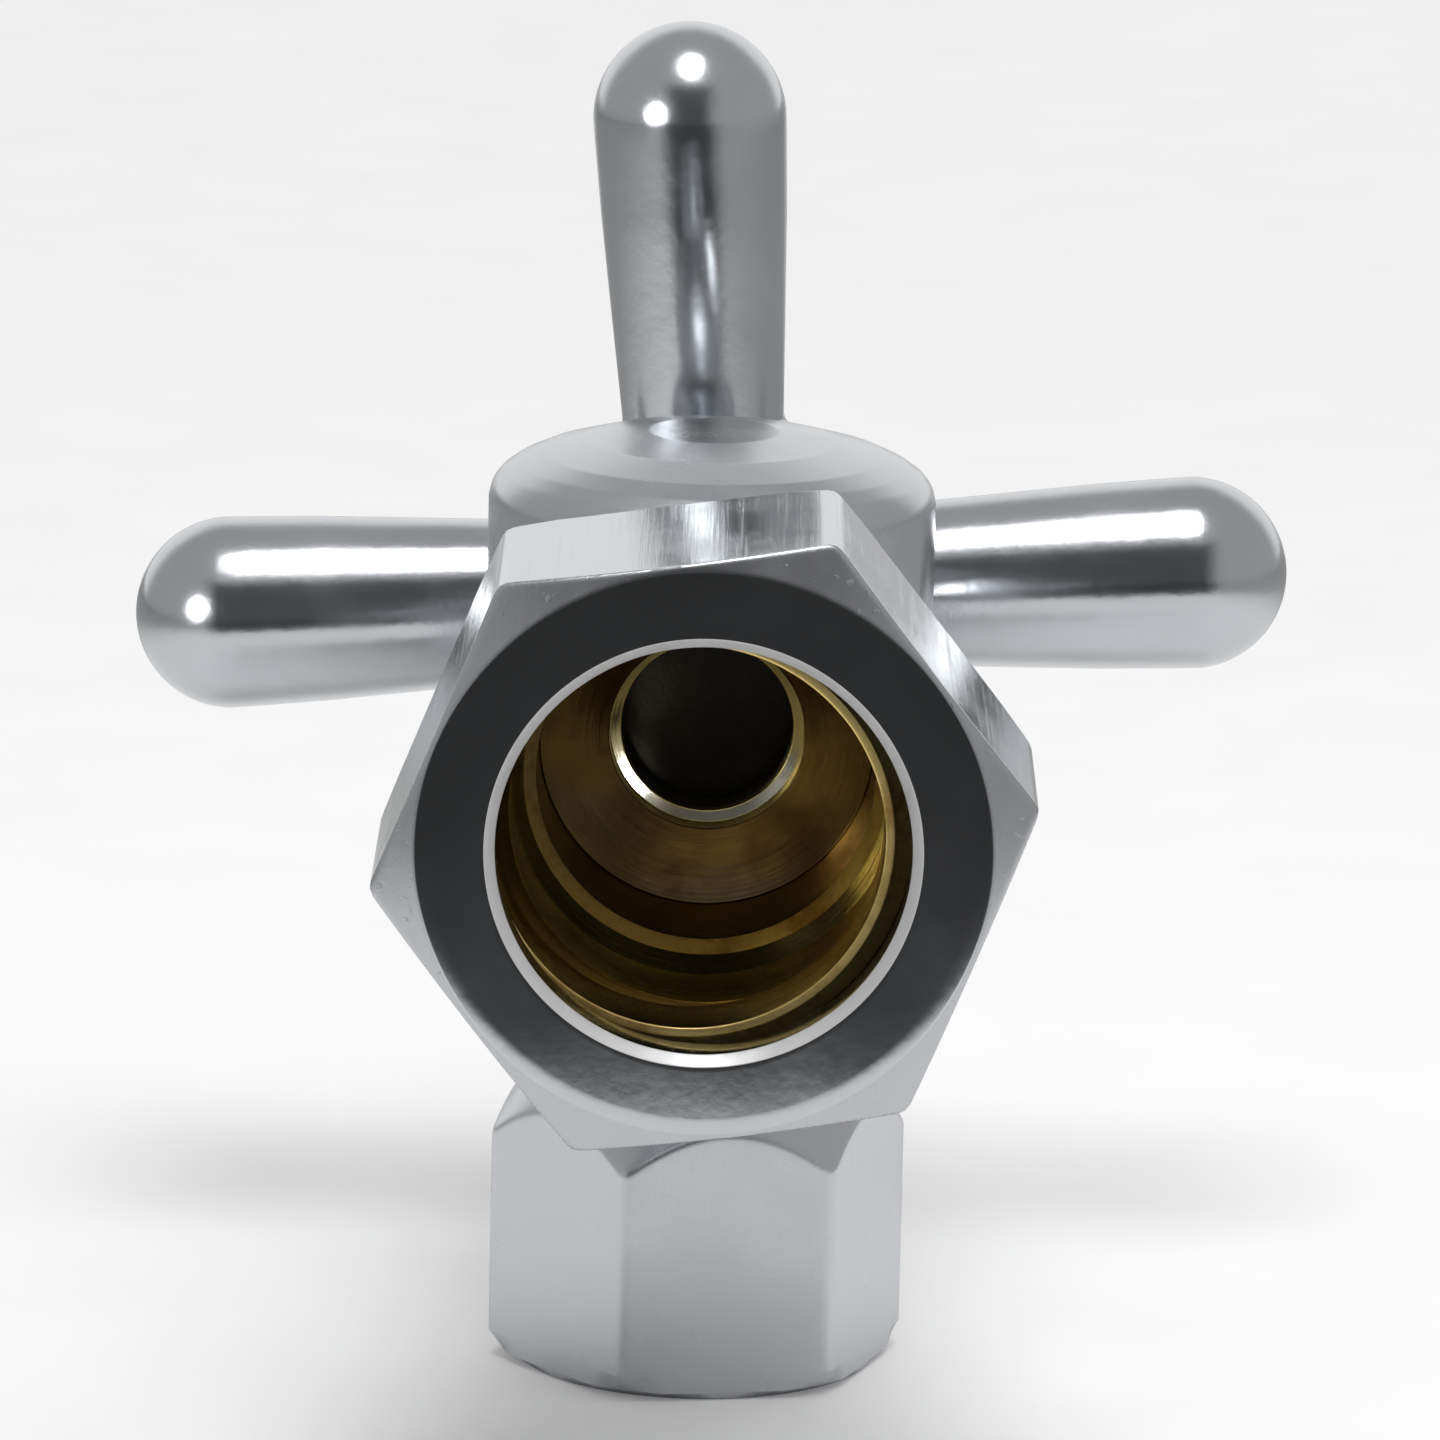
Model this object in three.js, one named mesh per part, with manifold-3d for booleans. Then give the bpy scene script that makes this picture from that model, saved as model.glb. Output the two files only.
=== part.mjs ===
// Chrome angle stop valve: compression inlet towards -Y, compression outlet downwards (-Z) and a four-arm
// cross handle on the stem, towards +Y. Millimetres, +Z up. The working point, where the inlet and outlet
// axes cross, is the zero of every station below; the whole group is then lifted to stand on its outlet nut.
import * as THREE from 'three';
import { mergeVertices } from 'three/addons/utils/BufferGeometryUtils.js';
import Module from 'manifold-3d';

const wasm = await Module();
wasm.setup();

// ---------- driving dimensions ----------
const FINE = 36; // facets of the large round parts
const COARSE = 20; // facets of the small round parts
const RUN = 0.08; // radial running clearance of the nuts on their threads

const NUT_FRONT = -31; // face of the inlet nut
const NUT_BACK = -18.4;
const NUT_AF = 23.8; // across flats
const NUT_TURN = -8.2; // degrees about +Y
const NUT_FACE_R = 11.67; // outer radius of the flat ring on the face
const NUT_MOUTH_R = 8.87;
const NUT_BORE_R = 8.45;

const INLET_THREAD_R = 10.45;
const INLET_END = -24.6;
const SOCKET_R = 8.05; // inlet tube socket
const SOCKET_END = -18.6;
const STEP_START = -17; // bevelled step between the socket's taper and the waterway
const STEP_R = 7.6;
const WATERWAY_START = -16.3;
const WATERWAY_R = 7.1;
const WATERWAY_END = -10;
const SEAT_HOLE_R = 4.16;
const SEAT_HOLE_START = -8.6;
const SEAT_SHOULDER = -7.2;
const SEAT_BORE_R = 3.6;
const SEAT_LIP = -5;
const TUBE_RING_R = 7.97; // inner radius of the inlet ferrule
const TUBE_RING_SIDE = -0.6; // the loose ferrule hangs to one side

const BARREL_R = 9.66;
const BARREL_TOP = 11.6;
const BARREL_BOTTOM = -14.5;
const NECK_R = 9.3;

const CHAMBER_R = 6.6;
const CHAMBER_START = -6;
const CHAMBER_END = 4.6;
const BONNET_BORE_R = 7.6;
const BRANCH_END = 10.8; // end of the stem branch

const OUT_THREAD_R = 6.95;
const OUT_END = -25.2;
const OUT_SOCKET_R = 4.85;
const OUT_SOCKET_TOP = -17.5;
const OUT_WAY_R = 3.6;
const OUT_NUT_AF = 16;
const OUT_NUT_TOP = -17.2;
const OUT_NUT_BOTTOM = -29.7;
const OUT_NUT_BEVEL = 2.4; // height of the bevel on its corners
const OUT_NUT_TURN = 9.9; // degrees about +Z

const STEM_THREAD_R = 3.3;
const STEM_R = 2.6;
const STEM_END = 22.3;
const SQUARE = 3.6; // square end of the stem
const BONNET_AF = 17;
const FLANGE_FRONT = 11.6; // hexagonal flange of the bonnet
const FLANGE_BACK = 13.4;
const GASKET_R = 9;
const PACKING_BOX_R = 4.3;
const PACKING_FLOOR = 11.2;
const PACKING_R = 4.2; // outer radius of the rings in the packing box
const PACKING_AF = 13;
const PACKING_NUT_FRONT = 13.6;
const PACKING_NUT_BACK = 16.5;

const HANDLE_PLANE = 20.9;
const HANDLE_TURN = -3.7; // degrees about +Y
const ARM_REACH = 26.15;
const ARM_TIP_R = 4.35;
const ARM_STEPS = 6; // bands of the round arm end
const HUB_R = 7.3;
const HUB_FRONT = 16.9;
const HUB_BACK = 26.2;
const WELL_FLOOR = 22.45; // recess for the handle screw and the button
const WELL_R = 4.2;
const BUTTON_BACK = 27.5;

// ---------- helpers ----------
const rad = THREE.MathUtils.degToRad;

// Closed solid from a three.js geometry: shared vertices merged, flat triangles dropped, faces turned out.
function solid(geometry) {
  const bare = geometry.index ? geometry.toNonIndexed() : geometry.clone();
  bare.deleteAttribute('normal');
  bare.deleteAttribute('uv');
  const merged = mergeVertices(bare, 1e-5);
  const index = merged.index.array;
  const kept = [];
  for (let i = 0; i < index.length; i += 3) {
    const [a, b, c] = [index[i], index[i + 1], index[i + 2]];
    if (a !== b && b !== c && c !== a) kept.push(a, b, c);
  }
  const position = merged.attributes.position;
  if (signedVolume(position, kept) < 0) kept.reverse();
  return new wasm.Manifold(new wasm.Mesh({
    numProp: 3,
    vertProperties: new Float32Array(position.array),
    triVerts: new Uint32Array(kept),
  }));
}

function signedVolume(position, index) {
  const [a, b, c] = [new THREE.Vector3(), new THREE.Vector3(), new THREE.Vector3()];
  let volume = 0;
  for (let i = 0; i < index.length; i += 3) {
    a.fromBufferAttribute(position, index[i]);
    b.fromBufferAttribute(position, index[i + 1]);
    c.fromBufferAttribute(position, index[i + 2]);
    volume += a.dot(b.cross(c)) / 6;
  }
  return volume;
}

// Solid of revolution about Y from [station, radius] pairs that start and end on the axis.
function turned(profile, facets = FINE) {
  const points = profile.map(([station, radius]) => new THREE.Vector2(radius, station));
  return solid(new THREE.LatheGeometry(points, facets));
}

// Ring about Y: the pairs go once round the ring's section.
function ring(section, facets = FINE) {
  return turned([...section, section[0]], facets);
}

function plug(from, to, radius, facets = FINE) {
  return turned([[from, 0], [from, radius], [to, radius], [to, 0]], facets);
}

// Solid of revolution about Z.
function upright(profile, facets = FINE) {
  return turned(profile, facets).rotate([90, 0, 0]);
}

// Hexagonal prism about Y with a corner towards +X.
function hexagon(from, to, acrossFlats) {
  const corner = acrossFlats / Math.sqrt(3);
  const prism = new THREE.CylinderGeometry(corner, corner, to - from, 6, 1, false, Math.PI / 6);
  return solid(prism.translate(0, (from + to) / 2, 0));
}

function box(width, from, to, height) {
  return solid(new THREE.BoxGeometry(width, to - from, height).translate(0, (from + to) / 2, 0));
}

function torus(station, radius, wire) {
  const geometry = new THREE.TorusGeometry(radius, wire, 10, COARSE).rotateX(Math.PI / 2);
  return solid(geometry.translate(0, station, 0));
}

function mesh(name, shape, material) {
  const { vertProperties, triVerts } = shape.getMesh();
  const geometry = new THREE.BufferGeometry();
  geometry.setAttribute('position', new THREE.BufferAttribute(vertProperties, 3));
  geometry.setIndex(new THREE.BufferAttribute(triVerts, 1));
  geometry.computeVertexNormals();
  const part = new THREE.Mesh(geometry, material);
  part.name = name;
  return part;
}

function finish(color, metalness, roughness) {
  return () => new THREE.MeshStandardMaterial({ color, metalness, roughness });
}

const chrome = finish(0xc9ccd1, 1, 0.08);
const brass = finish(0xb8923f, 1, 0.25);
const steel = finish(0xaeb0b3, 1, 0.3);
const rubber = finish(0x151515, 0, 0.6);
const fibre = finish(0x2e2c2a, 0, 0.9);
const packing = finish(0xe6e4dc, 0, 0.6);

// ---------- valve body ----------
function barrel() {
  return upright([
    [BARREL_BOTTOM, 0], [BARREL_BOTTOM, BARREL_R - 0.8], [BARREL_BOTTOM + 0.8, BARREL_R],
    [BARREL_TOP - 3.1, BARREL_R], [BARREL_TOP - 2.45, BARREL_R - 0.15],
    [BARREL_TOP - 1.95, BARREL_R - 0.55], [BARREL_TOP - 1.5, BARREL_R - 1.2],
    [BARREL_TOP - 1.05, BARREL_R - 2.2], [BARREL_TOP - 0.5, BARREL_R - 4.2],
    [BARREL_TOP - 0.12, BARREL_R - 6.8], [BARREL_TOP, 0],
  ]);
}

function inletBranch() {
  return turned([
    [0, 0], [0, NECK_R], [-14, NECK_R], [-14.6, INLET_THREAD_R], [INLET_END + 0.5, INLET_THREAD_R],
    [INLET_END, INLET_THREAD_R - 0.5], [INLET_END, 0],
  ]);
}

function outletBranch() {
  return upright([
    [BARREL_BOTTOM + 1, 0], [BARREL_BOTTOM + 1, 6.3], [BARREL_BOTTOM - 2.2, 6.3],
    [BARREL_BOTTOM - 2.8, OUT_THREAD_R], [OUT_END + 0.4, OUT_THREAD_R], [OUT_END, OUT_THREAD_R - 0.4],
    [OUT_END, 0],
  ]);
}

function valveBody() {
  const waterway = turned([
    [INLET_END - 1, 0], [INLET_END - 1, SOCKET_R + 1.25], [INLET_END, SOCKET_R + 1.25],
    [INLET_END + 1.25, SOCKET_R], [SOCKET_END, SOCKET_R], [STEP_START, STEP_R],
    [WATERWAY_START, WATERWAY_R], [WATERWAY_END, WATERWAY_R], [SEAT_HOLE_START, SEAT_HOLE_R],
    [SEAT_SHOULDER, SEAT_HOLE_R], [SEAT_SHOULDER + 0.6, SEAT_BORE_R],
    [SEAT_LIP - 0.4, SEAT_BORE_R], [SEAT_LIP, SEAT_BORE_R + 0.4], [SEAT_LIP, 5],
    [CHAMBER_START, 5.5], [CHAMBER_START, CHAMBER_R], [CHAMBER_END, CHAMBER_R],
    [CHAMBER_END, BONNET_BORE_R], [BRANCH_END + 1, BONNET_BORE_R], [BRANCH_END + 1, 0],
  ]);
  const outletWay = upright([
    [OUT_END - 1, 0], [OUT_END - 1, OUT_SOCKET_R + 1.05], [OUT_END, OUT_SOCKET_R + 1.05],
    [OUT_END + 1.05, OUT_SOCKET_R], [OUT_SOCKET_TOP, OUT_SOCKET_R], [OUT_SOCKET_TOP + 0.7, OUT_WAY_R],
    [-CHAMBER_R + 2.4, OUT_WAY_R], [-CHAMBER_R + 2.4, 0],
  ], COARSE);
  const stemBranch = turned([
    [0, 0], [0, 9.2], [BRANCH_END - 0.5, 9.2], [BRANCH_END, 8.7], [BRANCH_END, 0],
  ]);
  return barrel().add(inletBranch()).add(outletBranch()).add(stemBranch)
    .subtract(waterway).subtract(outletWay);
}

// ---------- compression joints ----------
function inletNut() {
  const corner = NUT_AF / Math.sqrt(3);
  const bevels = turned([
    [NUT_FRONT, 0], [NUT_FRONT, NUT_FACE_R], [NUT_FRONT + 0.85, corner + 0.01],
    [NUT_BACK - 0.5, corner + 0.01], [NUT_BACK, corner - 0.9], [NUT_BACK, 0],
  ]);
  const threadR = INLET_THREAD_R + RUN;
  const bore = turned([
    [NUT_FRONT - 1, 0], [NUT_FRONT - 1, NUT_MOUTH_R], [NUT_FRONT, NUT_MOUTH_R],
    [NUT_FRONT + 0.45, NUT_BORE_R], [NUT_FRONT + 2.3, NUT_BORE_R],
    [NUT_FRONT + 2.3 + threadR - NUT_BORE_R, threadR], [NUT_BACK - 0.5, threadR],
    [NUT_BACK, threadR + 0.4], [NUT_BACK + 1, threadR + 0.4], [NUT_BACK + 1, 0],
  ]);
  return hexagon(NUT_FRONT, NUT_BACK, NUT_AF).intersect(bevels).subtract(bore);
}

function inletFerrule() {
  return ring([
    [-28.1, TUBE_RING_R], [-28.1, 8.4], [-27.7, 8.4], [-26.9, 9.15], [-25.2, 9.15],
    [-24.3, 8.25], [-24.3, TUBE_RING_R],
  ]);
}

function outletNut() {
  const corner = OUT_NUT_AF / Math.sqrt(3);
  const bevels = turned([
    [OUT_NUT_BOTTOM, 0], [OUT_NUT_BOTTOM, corner - 1.45], [OUT_NUT_BOTTOM + 0.35, corner - 0.75],
    [OUT_NUT_BOTTOM + 1.1, corner + 0.01], [OUT_NUT_TOP - OUT_NUT_BEVEL, corner + 0.01],
    [OUT_NUT_TOP, corner - 1.65], [OUT_NUT_TOP, 0],
  ]);
  const threadR = OUT_THREAD_R + RUN;
  const bore = turned([
    [OUT_NUT_BOTTOM - 1, 0], [OUT_NUT_BOTTOM - 1, 5.35], [OUT_NUT_BOTTOM, 5.35],
    [OUT_NUT_BOTTOM + 0.4, 4.95], [OUT_NUT_BOTTOM + 1.2, 4.95], [OUT_NUT_BOTTOM + 3, threadR],
    [OUT_NUT_TOP, threadR], [OUT_NUT_TOP + 1, threadR], [OUT_NUT_TOP + 1, 0],
  ]);
  return hexagon(OUT_NUT_BOTTOM, OUT_NUT_TOP, OUT_NUT_AF).intersect(bevels).subtract(bore)
    .rotate([90, 0, 0]);
}

function outletFerrule() {
  return ring([
    [-28.2, 4.83], [-28.2, 5], [-27.3, 5.7], [-25.6, 5.7], [-24.75, 5.08], [-24.75, 4.83],
  ], COARSE).rotate([90, 0, 0]);
}

// ---------- seat end of the stem ----------
function seatWasher() {
  return turned([
    [-4.7, 0], [-4.7, 5.2], [-4.4, 5.5], [-2.1, 5.5], [-2.1, 0],
  ], COARSE);
}

function washerHolder() {
  return turned([
    [-3.3, 5.6], [-3.3, 6.2], [-0.2, 6.2], [0.4, 4.6], [2.6, 4.6], [2.6, 2.9], [2.2, 2.9], [2.2, 3.4],
    [1.5, 3.4], [1.5, 2.9], [-0.6, 2.9], [-0.6, 0], [-1.95, 0], [-1.95, 5.6], [-3.3, 5.6],
  ], COARSE);
}

// Snap ring with a gap, in the holder's groove behind the stem's nose.
function holderClip() {
  const gap = solid(new THREE.BoxGeometry(1.2, 2, 3).translate(0, 1.85, 2.7));
  return ring([[1.6, 2.08], [1.6, 3.3], [2.1, 3.3], [2.1, 2.08]], COARSE).subtract(gap);
}

function stem() {
  const shaft = turned([
    [-0.4, 0], [-0.4, 2.3], [0, 2.84], [1.35, 2.84], [1.35, 2], [2.7, 2], [3, STEM_THREAD_R - 0.3],
    [3.3, STEM_THREAD_R], [8.2, STEM_THREAD_R], [8.5, STEM_R], [17.4, STEM_R], [17.4, 0],
  ], COARSE);
  const square = box(SQUARE, 17, STEM_END, SQUARE);
  const tapped = plug(18, STEM_END + 1, 1.25, 16);
  return shaft.add(square).subtract(tapped);
}

// ---------- bonnet and packing ----------
function bonnet() {
  const outside = turned([
    [5.3, 0], [5.3, 7.1], [5.7, 7.55], [10.9, 7.55], [11.5, 7.2], [12.2, 7.2], [FLANGE_BACK, 5.3],
    [15.2, 5.3], [15.6, 4.9], [15.6, 0],
  ]);
  const corner = BONNET_AF / Math.sqrt(3);
  const flange = hexagon(FLANGE_FRONT, FLANGE_BACK, BONNET_AF).intersect(turned([
    [FLANGE_FRONT, 0], [FLANGE_FRONT, corner + 0.01], [FLANGE_BACK - 0.5, corner + 0.01],
    [FLANGE_BACK, corner - 0.9], [FLANGE_BACK, 0],
  ]));
  const bore = turned([
    [4, 0], [4, STEM_THREAD_R + RUN], [8.5, STEM_THREAD_R + RUN], [8.5, 3.7], [PACKING_FLOOR, 3.7],
    [PACKING_FLOOR, PACKING_BOX_R], [17, PACKING_BOX_R], [17, 0],
  ], COARSE);
  return outside.add(flange).subtract(bore);
}

function packingNut() {
  const corner = PACKING_AF / Math.sqrt(3);
  const bevels = turned([
    [PACKING_NUT_FRONT, 0], [PACKING_NUT_FRONT, corner + 0.01], [PACKING_NUT_BACK - 0.6, corner + 0.01],
    [PACKING_NUT_BACK, corner - 1.1], [PACKING_NUT_BACK, 0],
  ]);
  const bore = turned([
    [13, 0], [13, 5.36], [15.75, 5.36], [15.75, STEM_R + 0.1], [17, STEM_R + 0.1], [17, 0],
  ], COARSE);
  return hexagon(PACKING_NUT_FRONT, PACKING_NUT_BACK, PACKING_AF).intersect(bevels).subtract(bore);
}

function collar(from, to, inner, outer) {
  return ring([[from, inner], [from, outer], [to, outer], [to, inner]], COARSE);
}

// ---------- handle ----------
function arm() {
  const centre = ARM_REACH - ARM_TIP_R;
  const profile = [
    [0, 0], [0, 3.3], [7, 3.58], [12.5, 3.9], [17.5, 4.19], [centre - 1.5, ARM_TIP_R - 0.02],
  ];
  for (let step = 0; step <= ARM_STEPS; step++) {
    const angle = (step / ARM_STEPS) * Math.PI / 2;
    const radius = step === ARM_STEPS ? 0 : ARM_TIP_R * Math.cos(angle);
    profile.push([centre + ARM_TIP_R * Math.sin(angle), radius]);
  }
  return turned(profile, COARSE).rotate([0, 0, -90]);
}

function crossHandle() {
  let shape = turned([
    [HUB_FRONT, 0], [HUB_FRONT, HUB_R - 0.6], [HUB_FRONT + 0.6, HUB_R], [HUB_BACK - 1, HUB_R],
    [HUB_BACK - 0.3, HUB_R - 0.3], [HUB_BACK, HUB_R - 1], [HUB_BACK, 0],
  ]);
  for (let quarter = 0; quarter < 4; quarter++) {
    shape = shape.add(arm().rotate([0, 90 * quarter, 0]).translate([0, HANDLE_PLANE, 0]));
  }
  const socket = box(SQUARE + 0.16, 17.3, 23, SQUARE + 0.16);
  const bores = turned([
    [16, 0], [16, STEM_R + 0.15], [17.5, STEM_R + 0.15], [17.5, 0],
  ], COARSE).add(socket).add(plug(WELL_FLOOR, 28, WELL_R, COARSE));
  return shape.subtract(bores);
}

function handleScrew() {
  const body = turned([
    [18.4, 0], [18.6, 1.2], [23, 1.2], [23, 2.6], [23.9, 2.6], [24.4, 2.1], [24.4, 0],
  ], COARSE);
  const slots = box(0.7, 23.6, 25, 3).add(box(3, 23.6, 25, 0.7));
  return body.subtract(slots);
}

function indexButton() {
  return turned([
    [24.7, 0], [24.7, 3.8], [25, 3.8], [25, 3.3], [25.8, 3.3], [25.8, 3.9], [26.3, 3.9], [26.3, 5.7],
    [26.8, 5.9], [27.2, 5.4], [27.42, 3.6], [BUTTON_BACK, 0],
  ], COARSE);
}

// ---------- assembly ----------
const fixed = new THREE.Group();
fixed.add(
  mesh('valve_body', valveBody(), chrome()),
  mesh('bonnet', bonnet(), chrome()),
  mesh('bonnet_gasket', collar(10.95, 11.45, 7.7, GASKET_R), fibre()),
  mesh('packing_washer', collar(11.35, 11.95, STEM_R + 0.1, PACKING_R), brass()),
  mesh('packing_ring_lower', collar(12.05, 12.85, STEM_R + 0.06, PACKING_R), packing()),
  mesh('packing_ring_upper', collar(12.95, 13.75, STEM_R + 0.06, PACKING_R), packing()),
  mesh('gland_ring', collar(13.85, 15.6, STEM_R + 0.1, PACKING_R), brass()),
  mesh('packing_nut', packingNut(), chrome()),
);

const inlet = new THREE.Group();
inlet.rotation.y = rad(NUT_TURN);
inlet.add(mesh('inlet_nut', inletNut(), chrome()));

const outlet = new THREE.Group();
outlet.rotation.z = rad(OUT_NUT_TURN);
outlet.add(mesh('outlet_nut', outletNut(), chrome()));

const spindle = new THREE.Group();
spindle.rotation.y = rad(HANDLE_TURN);
spindle.add(
  mesh('stem', stem(), brass()),
  mesh('cross_handle', crossHandle(), chrome()),
  mesh('lock_washer', collar(22.5, 22.95, 1.35, 3), steel()),
  mesh('handle_screw', handleScrew(), steel()),
  mesh('index_button', indexButton(), chrome()),
  mesh('button_ring', torus(25.4, 3.72, 0.36), rubber()),
);

const tubeRing = mesh('inlet_ferrule', inletFerrule(), brass());
tubeRing.position.x = TUBE_RING_SIDE;

const valve = new THREE.Group();
valve.add(
  fixed, inlet, outlet, spindle, tubeRing,
  mesh('outlet_ferrule', outletFerrule(), brass()),
  mesh('washer_holder', washerHolder(), brass()),
  mesh('holder_clip', holderClip(), steel()),
  mesh('seat_washer', seatWasher(), rubber()),
);
valve.position.set(0, -(NUT_FRONT + BUTTON_BACK) / 2, -OUT_NUT_BOTTOM);

export default valve;
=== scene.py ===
import math

import bmesh
import bpy
from mathutils import Matrix, Vector

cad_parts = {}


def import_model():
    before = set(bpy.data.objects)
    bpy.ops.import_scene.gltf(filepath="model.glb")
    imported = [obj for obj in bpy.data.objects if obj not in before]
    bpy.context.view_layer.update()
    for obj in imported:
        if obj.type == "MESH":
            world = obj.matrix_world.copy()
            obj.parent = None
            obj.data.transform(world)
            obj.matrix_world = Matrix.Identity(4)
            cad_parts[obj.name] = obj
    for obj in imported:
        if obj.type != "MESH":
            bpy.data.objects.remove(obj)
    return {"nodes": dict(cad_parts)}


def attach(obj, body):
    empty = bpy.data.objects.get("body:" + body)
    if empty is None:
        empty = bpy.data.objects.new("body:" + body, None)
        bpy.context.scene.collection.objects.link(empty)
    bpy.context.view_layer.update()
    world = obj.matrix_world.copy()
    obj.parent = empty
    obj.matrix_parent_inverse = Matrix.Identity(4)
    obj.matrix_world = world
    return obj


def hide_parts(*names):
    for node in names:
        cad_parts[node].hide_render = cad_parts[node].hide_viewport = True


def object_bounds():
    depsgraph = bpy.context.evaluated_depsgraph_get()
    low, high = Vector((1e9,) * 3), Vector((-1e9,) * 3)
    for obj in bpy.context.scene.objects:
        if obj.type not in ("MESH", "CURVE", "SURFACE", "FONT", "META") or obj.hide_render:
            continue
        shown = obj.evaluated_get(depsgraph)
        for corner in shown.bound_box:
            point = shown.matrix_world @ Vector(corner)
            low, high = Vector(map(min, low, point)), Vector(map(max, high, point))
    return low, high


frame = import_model()
CAD_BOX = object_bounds()
MM = 0.001

# Sizes in millimetres from the working point, where the inlet and outlet axes cross. Stations on the inlet
# and the stem run along +Y, from the camera to the handle; stations on the outlet run along +Z.
INLET_NUT_FLATS, INLET_NUT_TURN = 23.8, 8.2  # every turn here is in degrees
NUT_FACE, NUT_BACK = -31.0, -18.4
NUT_BORE_R, NUT_THREAD_R = 8.45, 10.53
NUT_EDGE_R = 8.95  # outside this radius the nut's front is its flat face, inside it is the worn mouth
NUT_BEVEL_R = 11.6

OUTLET_NUT_FLATS, OUTLET_NUT_TURN = 16.0, 9.9
OUTLET_NUT_TOP, OUTLET_NUT_BOTTOM = -17.2, -29.7

BARREL_R, BARREL_TOP, BARREL_BOTTOM = 9.66, 11.6, -14.5
NECK_R, INLET_THREAD_R, INLET_END = 9.3, 10.45, -24.6
INLET_PITCH, THREAD_DEPTH = 25.4 / 18, 0.62
SOCKET_R, SOCKET_MOUTH, SOCKET_END = 8.05, -23.35, -18.6
STEP_R, STEP_START = 7.6, -17.0
WATERWAY_R, WATERWAY_START, WATERWAY_END = 7.1, -16.3, -10.0
SEAT_HOLE_R, SEAT_HOLE_START, SEAT_SHOULDER = 4.16, -8.6, -7.3
SEAT_BORE_R, SEAT_LIP = 3.6, -5.0
CHAMBER_R, CHAMBER_START, CHAMBER_END = 6.6, -6.0, 4.6
BONNET_BORE_R, BRANCH_R, BRANCH_END = 7.6, 9.2, 10.8
OUTLET_THREAD_R, OUTLET_END = 6.95, -25.2
OUTLET_SOCKET_R, OUTLET_WAY_R = 4.85, 3.6

BONNET_FLATS, FLANGE_FRONT, FLANGE_BACK = 17.0, 11.6, 13.4
PACKING_NUT_FLATS, PACKING_NUT_FRONT, PACKING_NUT_BACK = 13.0, 13.6, 16.5

HANDLE_PLANE, HANDLE_TURN = 20.9, -3.7
HUB_R, HUB_FRONT, HUB_BACK = 7.3, 16.9, 26.2
ARM_TIP_R, ARM_REACH, ARM_FILLET = 4.35, 26.14, 1.0
WELL_R, WELL_FLOOR = 4.2, 22.45
SQUARE_CORNER_R = 2.66  # half the diagonal of the square socket for the stem
FERRULE_R = 7.97
FERRULE_SIDE = -0.6  # the loose inlet ferrule hangs to one side

LOW, HIGH = CAD_BOX
WORK = Vector(((LOW[0] + HIGH[0]) / 2, LOW[1] - NUT_FACE * MM, LOW[2] - OUTLET_NUT_BOTTOM * MM))


# ---------------------------------------------------------------- mesh helpers
def fillet(points, radius, steps=4, closed=False):
    """Rounds the inner corners of a polyline of (station, radius) pairs."""
    out = []
    count = len(points)
    for i, point in enumerate(points):
        if not closed and i in (0, count - 1):
            out.append(tuple(point))
            continue
        here = Vector(point[:2])
        size = point[2] if len(point) > 2 else radius
        before = Vector(points[i - 1][:2]) - here
        after = Vector(points[(i + 1) % count][:2]) - here
        turn = before.angle(-after, 0.0)
        reach = min(size * math.tan(turn / 2), before.length * 0.45, after.length * 0.45)
        if turn < 0.02 or reach < 1e-4:
            out.append((here.x, here.y))
            continue
        start, end = here + before.normalized() * reach, here + after.normalized() * reach
        for k in range(steps + 1):
            t = k / steps
            p = start * (1 - t) ** 2 + here * 2 * t * (1 - t) + end * t ** 2
            out.append((p.x, p.y))
    return out


def place(axis, station, radius, angle):
    """A point of a turned part in millimetres; the angle runs from +Z (about Y) or from +X (about Z)."""
    if axis == "Y":
        return Vector((radius * math.sin(angle), station, radius * math.cos(angle)))
    return Vector((radius * math.cos(angle), radius * math.sin(angle), station))


def turned(name, profile, axis="Y", sides=160, shape=None, closed=False, turn=0.0):
    """A turned part. shape(angle, station, radius, index) may change the radius round the part."""
    verts, faces, rows = [], [], []
    for index, (station, radius) in enumerate(profile):
        if radius < 1e-6:
            verts.append(place(axis, station, 0, 0))
            rows.append([len(verts) - 1] * sides)
            continue
        row = []
        for k in range(sides):
            angle = 2 * math.pi * k / sides
            r = shape(angle, station, radius, index) if shape else radius
            verts.append(place(axis, station, r, angle + turn))
            row.append(len(verts) - 1)
        rows.append(row)
    pairs = list(zip(rows, rows[1:])) + ([(rows[-1], rows[0])] if closed else [])
    for first, second in pairs:
        for k in range(sides):
            j = (k + 1) % sides
            face = [first[k], second[k], second[j], first[j]]
            face = [v for n, v in enumerate(face) if v != face[n - 1]]
            if len(face) > 2:
                faces.append(face)
    mesh = bpy.data.meshes.new(name)
    mesh.from_pydata([WORK + v * MM for v in verts], [], faces)
    mesh.update()
    return finish_mesh(name, mesh)


def finish_mesh(name, mesh):
    """Makes the faces point outwards, shades them and puts the piece in the scene."""
    bm = bmesh.new()
    bm.from_mesh(mesh)
    bmesh.ops.recalc_face_normals(bm, faces=bm.faces)
    if bm.calc_volume(signed=True) < 0:
        bmesh.ops.reverse_faces(bm, faces=bm.faces)
    bm.to_mesh(mesh)
    bm.free()
    mesh.shade_smooth()
    mesh.set_sharp_from_angle(angle=math.radians(34))
    piece = bpy.data.objects.new(name, mesh)
    bpy.context.scene.collection.objects.link(piece)
    return piece


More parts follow.
